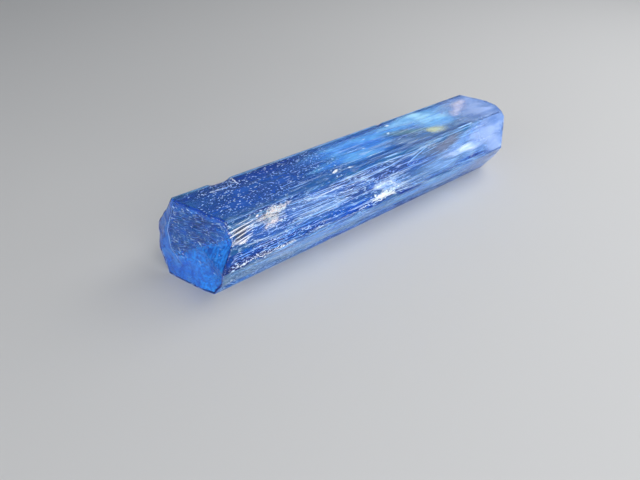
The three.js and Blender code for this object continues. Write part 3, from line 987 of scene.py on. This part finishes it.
# What patch_on() takes for each patch: face, middle, reach, turn, depth, tilt, thickness, wave, ragged,
# seed, segments and rings.
FILMS = {
    # The healed fracture under the front edge: its soft cream bed with a paler lobe below.
    "fracture_bed": (
        ("highFront", (2.60, 0.33), (0.76, 0.15), -0.12, 0.11, 0.1, 0.02, 0.02, 0.5, 1, 40, 8),
        ("highFront", (2.50, 0.66), (0.44, 0.17), -0.30, 0.13, 0.1, 0.02, 0.02, 0.4, 2, 36, 8),
    ),
    # Pale clouds that whiten the tip half, in layers.
    "milky_veils": (
        ("highFront", (13.6, 0.90), (3.3, 0.72), 0.0, 0.35, 0.1, 0.03, 0.12, 0.25, 5, 48, 8),
        ("highFront", (14.4, 1.00), (2.2, 0.20), 0.0, 0.10, 0.1, 0.02, 0.05, 0.25, 6, 40, 6),
        ("highFront", (15.0, 0.70), (1.5, 0.60), 0.0, 0.18, 0.1, 0.02, 0.05, 0.35, 61, 40, 6),
        ("highFront", (8.5, 1.20), (1.5, 0.30), 0.05, 0.16, 0.1, 0.02, 0.05, 0.6, 62, 40, 6),
        ("top", (13.6, 1.2), (3.2, 1.00), 0.0, 0.35, 0.1, 0.03, 0.12, 0.3, 7, 48, 8),
        ("highFront", (14.4, 1.02), (2.7, 0.24), 0.0, 0.08, 0.0, 0.015, 0.01, 0.2, 37, 48, 8),
        ("top", (15.1, 0.8), (1.0, 0.60), -0.6, 0.15, 0.0, 0.02, 0.08, 0.4, 8, 36, 6),
        ("top", (12.6, 0.6), (2.6, 0.40), 0.0, 0.16, 0.0, 0.02, 0.08, 0.4, 10, 36, 6),
        ("lowFront", (13.0, 1.0), (3.6, 0.85), 0.0, 0.25, 0.0, 0.03, 0.10, 0.25, 9, 48, 8),
        ("lowFront", (4.2, 0.9), (3.8, 0.70), 0.0, 0.30, 0.0, 0.03, 0.10, 0.35, 11, 48, 8),
    ),
    # Lavender clouds right under the faces that meet at the tip.
    "tip_veils": (
        ("highFront", (16.8, 0.86), (3.2, 2.4), 0.0, 0.05, 0.0, 0.02, 0.01, 0.2, 63, 64, 12),
        ("top", (16.9, 1.20), (3.2, 3.2), 0.0, 0.04, 0.0, 0.02, 0.01, 0.2, 64, 64, 12),
        ("lowFront", (16.6, 1.00), (2.6, 2.6), 0.0, 0.05, 0.0, 0.02, 0.01, 0.2, 65, 64, 12),
        ("highBack", (16.6, 0.90), (2.4, 2.4), 0.0, 0.05, 0.0, 0.02, 0.01, 0.2, 66, 64, 12),
    ),
    # Clear azure films under the middle of the top face and low on the front, painted light standing in for
    # light reflected inside the crystal.
    "azure_painted_light_veils": (
        ("top", (9.2, 0.75), (4.4, 0.50), 0.0, 0.14, 0.0, 0.02, 0.04, 0.25, 30, 48, 8),
        ("top", (7.8, 1.45), (3.0, 0.50), 0.0, 0.20, 0.0, 0.02, 0.04, 0.35, 32, 48, 8),
        ("lowFront", (4.6, 0.60), (4.4, 0.48), 0.0, 0.10, 0.0, 0.02, 0.03, 0.25, 33, 48, 8),
        ("lowFront", (11.5, 0.70), (4.4, 0.55), 0.0, 0.10, 0.0, 0.02, 0.03, 0.25, 34, 48, 8),
    ),
    # Painted reflection: the bright band that light reflected inside the crystal lays down the far half of
    # the top face, and its echo along the back edge.
    "painted_reflection_band": (
        ("top", (12.4, 0.42), (3.4, 0.40), 0.0, 0.07, 0.0, 0.015, 0.01, 0.12, 31, 48, 8),
        ("top", (13.6, 1.10), (2.4, 0.80), 0.0, 0.12, 0.0, 0.02, 0.03, 0.35, 36, 48, 8),
        ("highBack", (12.2, face_width("highBack") - 0.30), (3.6, 0.26),
         0.0, 0.07, 0.0, 0.015, 0.01, 0.1, 41, 48, 8),
    ),
    # A soft pinkish cloud by the back corner of the tip.
    "blush_spot": (
        ("top", (15.2, 0.80), (0.95, 0.46), -0.5, 0.026, 0.0, 0.006, 0.01, 0.45, 43, 40, 8),
        ("top", (14.8, 1.05), (0.75, 0.34), -0.5, 0.026, 0.0, 0.006, 0.01, 0.45, 44, 40, 8),
        ("top", (15.7, 0.55), (0.70, 0.30), -0.5, 0.026, 0.0, 0.006, 0.01, 0.45, 46, 40, 8),
    ),
    # Painted shade: dark blue films under the near half, where little light comes back.
    "painted_shade_zones": (
        ("top", (2.6, 1.18), (4.6, 1.12), 0.0, 0.28, 0.0, 0.02, 0.05, 0.12, 39, 48, 8),
        ("highBack", (3.6, 1.10), (4.6, 1.30), 0.0, 0.12, 0.0, 0.02, 0.02, 0.12, 45, 48, 8),
        ("lowBack", (3.2, face_width("lowBack") - 0.35), (4.8, 0.50),
         0.0, 0.10, 0.0, 0.02, 0.02, 0.12, 47, 48, 8),
        ("highFront", (6.2, 0.72), (6.2, 0.68), 0.0, 0.20, 0.0, 0.02, 0.05, 0.12, 40, 48, 8),
        ("highFront", (6.3, 0.52), (3.3, 0.46), 0.0, 0.12, 0.0, 0.02, 0.02, 0.15, 48, 48, 8),
    ),
    # A rusty yellow spot low in the far half of the top face.
    "stain_spot": (
        ("top", (12.5, 1.84), (0.62, 0.34), 0.1, 0.05, 0.0, 0.015, 0.01, 0.35, 12, 40, 8),
        ("top", (12.2, 1.72), (0.55, 0.28), 0.2, 0.06, 0.0, 0.015, 0.01, 0.35, 18, 40, 8),
    ),
    # A dull olive streak that runs from the yellow spot towards the root.
    "olive_film": (
        ("top", (11.1, 1.30), (1.5, 0.30), 0.33, 0.07, 0.0, 0.015, 0.01, 0.4, 13, 40, 8),
    ),
    # Dull grey-blue wisps beside the long line near the tip.
    "smoky_wisps": (
        ("highFront", (11.8, 0.56), (1.7, 0.32), 0.0, 0.06, 0.0, 0.015, 0.01, 0.4, 15, 44, 8),
        ("highFront", (12.7, 0.36), (0.9, 0.28), -0.1, 0.05, 0.0, 0.015, 0.01, 0.4, 16, 40, 8),
    ),
    # Duller blue along the front edge of the top face and low on the upper front face.
    "blue_haze": (
        ("top", (11.0, 1.78), (2.4, 0.40), 0.10, 0.08, 0.0, 0.015, 0.01, 0.4, 17, 40, 8),
        ("top", (13.9, 1.95), (1.4, 0.30), 0.05, 0.07, 0.0, 0.015, 0.01, 0.4, 19, 40, 8),
        ("highFront", (11.0, 1.36), (3.0, 0.45), 0.0, 0.09, 0.0, 0.02, 0.02, 0.3, 35, 48, 8),
    ),
}


# ---- Blender helpers ----

def crystal_origin():
    """Where crystal (0, 0, 0) sits in the frame, in metres, worked out from the CAD node's box."""
    low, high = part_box("crystal")
    front_corner = corner(FACE_NAMES.index("highFront"))
    x = high.x - TIP_X * MM
    y = low.y - front_corner[0] * MM
    z = low.z + FACE_DISTANCES[FACE_NAMES.index("base")] * MM
    return np.array((x, y, z))


def make_object(name, vertices, faces, material):
    """A smooth mesh object from crystal coordinates in millimetres."""
    mesh = bpy.data.meshes.new(name)
    mesh.from_pydata((np.asarray(vertices) * MM + ORIGIN).tolist(), [], faces)
    mesh.validate()
    mesh.update()
    mesh.polygons.foreach_set("use_smooth", [True] * len(mesh.polygons))
    mesh.materials.append(material)
    piece = bpy.data.objects.new(name, mesh)
    bpy.context.scene.collection.objects.link(piece)
    return piece


def new_material(name):
    material = bpy.data.materials.new(name)
    material.use_nodes = True
    nodes, links = material.node_tree.nodes, material.node_tree.links
    return material, nodes, links, nodes["Principled BSDF"]


def new_node(nodes, kind, **values):
    """A new node. Each value goes to the input of that name, with _ for a space."""
    node = nodes.new(kind)
    for name, value in values.items():
        node.inputs[name.replace("_", " ")].default_value = value
    return node


def attribute(nodes, name):
    """The node that reads a value stored on the mesh."""
    node = nodes.new("ShaderNodeAttribute")
    node.attribute_name = name
    return node


def map_range(nodes, links, value, low, high, to_low, to_high):
    node = new_node(nodes, "ShaderNodeMapRange", From_Min=low, From_Max=high, To_Min=to_low, To_Max=to_high)
    links.new(value, node.inputs["Value"])
    return node.outputs[0]


def multiply(nodes, links, first, second):
    node = nodes.new("ShaderNodeMath")
    node.operation = "MULTIPLY"
    links.new(first, node.inputs[0])
    links.new(second, node.inputs[1])
    return node.outputs[0]


def tint(nodes, links, shader, share, colour, second_colour):
    """Gives the shader a colour between the two, by the share."""
    mix = nodes.new("ShaderNodeMix")
    mix.data_type = "RGBA"
    mix.inputs["A"].default_value = (*colour, 1)
    mix.inputs["B"].default_value = (*second_colour, 1)
    links.new(share, mix.inputs["Factor"])
    links.new(mix.outputs["Result"], shader.inputs["Base Color"])


def noise(nodes, links, vector, **values):
    """Noise over a vector."""
    node = new_node(nodes, "ShaderNodeTexNoise", **values)
    links.new(vector, node.inputs["Vector"])
    return node.outputs[0]


def stretched_noise(nodes, links, scale, detail=3.0, roughness=0.5, distortion=0.0):
    """Noise in crystal directions. scale is the number of grains per millimetre along, across and up."""
    where = nodes.new("ShaderNodeTexCoord")
    mapping = new_node(nodes, "ShaderNodeMapping", Scale=[value / MM for value in scale])
    links.new(where.outputs["Object"], mapping.inputs["Vector"])
    return noise(nodes, links, mapping.outputs["Vector"], Scale=1.0, Detail=detail, Roughness=roughness,
                 Distortion=distortion)


def add_bump(nodes, links, height, distance, strength, before=None):
    """A bump, its distance in millimetres, on top of the bump before it."""
    bump = new_node(nodes, "ShaderNodeBump", Distance=distance * MM, Strength=strength)
    links.new(height, bump.inputs["Height"])
    if before is not None:
        links.new(before.outputs["Normal"], bump.inputs["Normal"])
    return bump


def aquamarine_material():
    """Clear blue beryl: its blue comes from absorption, its sparkle from striated, lightly etched faces."""
    material, nodes, links, shader = new_material("aquamarine")
    lines = stretched_noise(nodes, links, (0.35, 9.0, 9.0), 5.0, 0.65, 0.4)
    grain = stretched_noise(nodes, links, (3.0, 16.0, 16.0), 3.0, 0.6)
    etch = stretched_noise(nodes, links, (0.8, 3.0, 3.0), 4.0, 0.6)
    bump = add_bump(nodes, links, lines, 0.012, 0.5)
    bump = add_bump(nodes, links, grain, 0.003, 0.4, bump)
    links.new(bump.outputs["Normal"], shader.inputs["Normal"])
    links.new(map_range(nodes, links, etch, 0.35, 0.7, 0.02, 0.14), shader.inputs["Roughness"])
    shader.inputs["Base Color"].default_value = (0.93, 0.97, 1.0, 1)
    shader.inputs["IOR"].default_value = BERYL_IOR
    shader.inputs["Transmission Weight"].default_value = 1.0
    absorption = new_node(nodes, "ShaderNodeVolumeAbsorption", Color=BERYL_ABSORPTION, Density=BERYL_DENSITY)
    links.new(absorption.outputs[0], nodes["Material Output"].inputs["Volume"])
    return material


def veil_material(name, colour, second_colour, cover, breakup, roughness, grain, solid_at=0.5):
    """A wispy sealed film: its cover fades to the rim, and noise breaks it up by the given share."""
    material, nodes, links, shader = new_material(name)
    cloud = stretched_noise(nodes, links, (0.45 * grain, grain, grain), 4.0)
    fade = attribute(nodes, "fade").outputs["Fac"]
    spread = map_range(nodes, links, cloud, *CLOUD_RANGE, 0.0, 1.0)
    edge = map_range(nodes, links, fade, 0.0, solid_at, 0.0, cover)
    broken = map_range(nodes, links, cloud, *CLOUD_RANGE, 1.0 - breakup, 1.0)
    tint(nodes, links, shader, spread, colour, second_colour)
    links.new(multiply(nodes, links, edge, broken), shader.inputs["Alpha"])
    shader.inputs["Roughness"].default_value = roughness
    return material


def silk_material(name, colour, second_colour, cover, low, high):
    """A sheet of fine parallel silk: streaks along the crystal, clear between them."""
    material, nodes, links, shader = new_material(name)
    along = attribute(nodes, "silk").outputs["Vector"]
    fade = attribute(nodes, "fade").outputs["Fac"]
    mapping = new_node(nodes, "ShaderNodeMapping", Scale=(0.5, 16.0, 1.0))
    links.new(along, mapping.inputs["Vector"])
    streaks = noise(nodes, links, mapping.outputs["Vector"], Scale=1.0, Detail=5.0, Roughness=0.62)
    patches = noise(nodes, links, along, Scale=0.9, Detail=3.0)
    lines = map_range(nodes, links, streaks, low, high, 0.0, cover)
    areas = map_range(nodes, links, patches, 0.3, 0.65, 0.35, 1.0)
    tint(nodes, links, shader, lines, colour, second_colour)
    alpha = multiply(nodes, links, multiply(nodes, links, lines, areas), fade)
    links.new(alpha, shader.inputs["Alpha"])
    shader.inputs["Roughness"].default_value = 0.45
    return material


def solid_inclusion_material(name, colour, second_colour, roughness=0.3):
    """A pale or dark opaque inclusion with a mottled colour."""
    material, nodes, links, shader = new_material(name)
    where = nodes.new("ShaderNodeTexCoord")
    mottle = noise(nodes, links, where.outputs["Object"], Scale=9 / MM)
    tint(nodes, links, shader, mottle, colour, second_colour)
    shader.inputs["Roughness"].default_value = roughness
    return material


def add_inclusion(name, shape, look):
    """A piece sealed in the crystal, with its fade and any silk directions stored on the mesh."""
    vertices, faces, fade = shape[:3]
    vertices, fade = sealed(vertices, fade)
    piece = make_object(name, vertices, faces, looks[look])
    layer = piece.data.attributes.new("fade", "FLOAT", "POINT")
    layer.data.foreach_set("value", np.asarray(fade, np.float32))
    if len(shape) > 3:
        flow = piece.data.attributes.new("silk", "FLOAT_VECTOR", "POINT")
        flow.data.foreach_set("vector", np.asarray(shape[3], np.float32).reshape(-1))
    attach(piece, "root")


def add_film(name, look):
    """A piece made of the patches that FILMS lists under its name."""
    add_inclusion(name, merged(patch_on(*row) for row in FILMS[name]), look)


# ---- Stage ----

def make_floor():
    """A plain pale sheet just under the crystal."""
    bpy.ops.mesh.primitive_plane_add(size=1.0, location=(0, 0, -0.00001))
    floor = bpy.context.object
    floor.name = "floor"
    material, _, _, shader = new_material("floor_paper")
    shader.inputs["Base Color"].default_value = (0.68, 0.68, 0.68, 1)
    shader.inputs["Roughness"].default_value = 0.8
    floor.data.materials.append(material)


def make_light(name, place, size, brightness):
    """A soft box. Its brightness is its radiance, so a larger box gives more light, not a dimmer face."""
    data = bpy.data.lights.new(name, "AREA")
    data.shape = "RECTANGLE"
    data.size, data.size_y = size[0] * MM, size[1] * MM
    data.energy = brightness * math.pi * data.size * data.size_y
    light = bpy.data.objects.new(name, data)
    bpy.context.scene.collection.objects.link(light)
    light.location = Vector(place) * MM
    aim = Vector(LAMPS_AIM_AT) * MM - light.location
    light.rotation_euler = aim.to_track_quat("-Z", "Y").to_euler()


def make_world():
    world = bpy.data.worlds.new("studio")
    world.use_nodes = True
    background = world.node_tree.nodes["Background"]
    background.inputs["Color"].default_value = (0.86, 0.92, 1.0, 1)
    background.inputs["Strength"].default_value = 0.18
    bpy.context.scene.world = world


def make_camera():
    data = bpy.data.cameras.new("camera")
    data.lens = CAMERA_LENS
    data.sensor_width = 36
    data.clip_start = 0.0005
    data.clip_end = 20
    camera = bpy.data.objects.new("camera", data)
    bpy.context.scene.collection.objects.link(camera)
    place, target = Vector(CAMERA_AT) * MM, Vector(CAMERA_LOOKS_AT) * MM
    turn = (target - place).to_track_quat("-Z", "Y").to_matrix().to_4x4()
    roll = Matrix.Rotation(math.radians(CAMERA_ROLL), 4, "Z")
    camera.matrix_world = Matrix.Translation(place) @ turn @ roll
    bpy.context.scene.camera = camera


# ---- Scene ----

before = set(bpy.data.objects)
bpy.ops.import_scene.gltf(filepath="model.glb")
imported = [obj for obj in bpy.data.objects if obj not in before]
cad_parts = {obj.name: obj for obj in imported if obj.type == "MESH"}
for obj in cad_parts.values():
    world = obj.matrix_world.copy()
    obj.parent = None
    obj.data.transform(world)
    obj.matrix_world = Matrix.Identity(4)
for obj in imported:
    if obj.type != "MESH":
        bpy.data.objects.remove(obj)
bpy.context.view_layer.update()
ORIGIN = crystal_origin()

make_camera()
make_world()
make_floor()
for lamp in LAMPS:
    make_light(*lamp)
bpy.context.scene.view_settings.view_transform = "Standard"
bpy.context.scene.cycles.max_bounces = 24
bpy.context.scene.cycles.glossy_bounces = 16
bpy.context.scene.cycles.transmission_bounces = 24
bpy.context.scene.cycles.transparent_max_bounces = 48

body_vertices, body_faces = crystal_body()
body = make_object("crystal_body", body_vertices, body_faces, aquamarine_material())
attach(body, "root")
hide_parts("crystal")
body.visible_shadow = False  # clear beryl lets lamps through to what is sealed in it

random = np.random.default_rng(7)
looks = {name: veil_material(name, *values) for name, values in VEIL_LOOKS.items()}
looks |= {name: solid_inclusion_material(name, *values) for name, values in SOLID_LOOKS.items()}
looks["silk"] = silk_material("silk", (0.03, 0.26, 0.95), (0.28, 0.64, 1.0), 0.65, 0.54, 0.60)
for number, face in enumerate(("top", "highFront", "lowFront", "highBack", "lowBack")):
    add_inclusion("silk_" + face, silk_sheet(face, number), "silk")
add_inclusion("growth_tubes_painted_glints", growth_tubes_painted_glints(random), "tube_wear_and_painted_glint")
add_film("fracture_bed", "cream_fracture")
add_inclusion("fracture_flakes", fracture_flakes(random), "cream_flake")
add_inclusion("fracture_gaps", fracture_gaps(random), "dark_gap")
add_inclusion("fracture_sparks", fracture_sparks(random), "thread_painted_glint")
add_inclusion("growth_lines_painted_glint", growth_lines_painted_glint(random), "thread_painted_glint")
add_inclusion("finger_rays", finger_rays(random), "pale_finger")
add_inclusion("dark_rays", dark_rays(random), "dark_gap")
add_inclusion("crack_flakes_painted_highlight", crack_flakes_painted_highlight(random), "crack_painted_highlight")
add_inclusion("etch_specks_painted_glint", etch_specks_painted_glint(random), "etch_speck_painted_glint")
add_inclusion("edge_wear_painted_glint", edge_wear_painted_glint(random), "tube_wear_and_painted_glint")
add_inclusion("root_cloud", root_sheet(azure_cover, 0.05), "root_cloud")
# A dark sheet behind the broken end: painted shade.
add_inclusion("root_painted_shade_sheet", root_sheet(painted_shade_cover, 0.12), "root_painted_shade")
add_inclusion("bevel_cloud", root_sheet(bevel_cover, 0.035), "bevel_cloud")
add_inclusion("root_glints", root_glints(random), "thread_painted_glint")
add_inclusion("root_streaks", root_streaks(random, 130, (0.05, 0.20), (0.008, 0.020)), "root_streak")
add_inclusion("root_gaps", root_streaks(random, 170, (0.08, 0.28), (0.014, 0.034)), "root_gap")
add_inclusion("lower_streaks", lower_streaks(random), "lower_streak")
add_inclusion("rim_wear_painted_glint", rim_wear_painted_glint(random), "blue_glint")
add_inclusion("tip_frost", end_sheet(tip_surface, tip_texture, -1, tip_cover, 0.05), "tip_frost")
add_inclusion("tip_clouds", tip_clouds(), "milky_veil")
add_film("tip_veils", "lavender_veil")
add_film("milky_veils", "milky_veil")
add_film("painted_shade_zones", "painted_shade_blue")
add_film("painted_reflection_band", "painted_reflection_band")
add_film("blush_spot", "blush_veil")
add_film("azure_painted_light_veils", "azure_painted_light")
add_film("stain_spot", "iron_film")
add_film("olive_film", "olive_film")
add_film("blue_haze", "blue_haze")
add_film("smoky_wisps", "smoke")
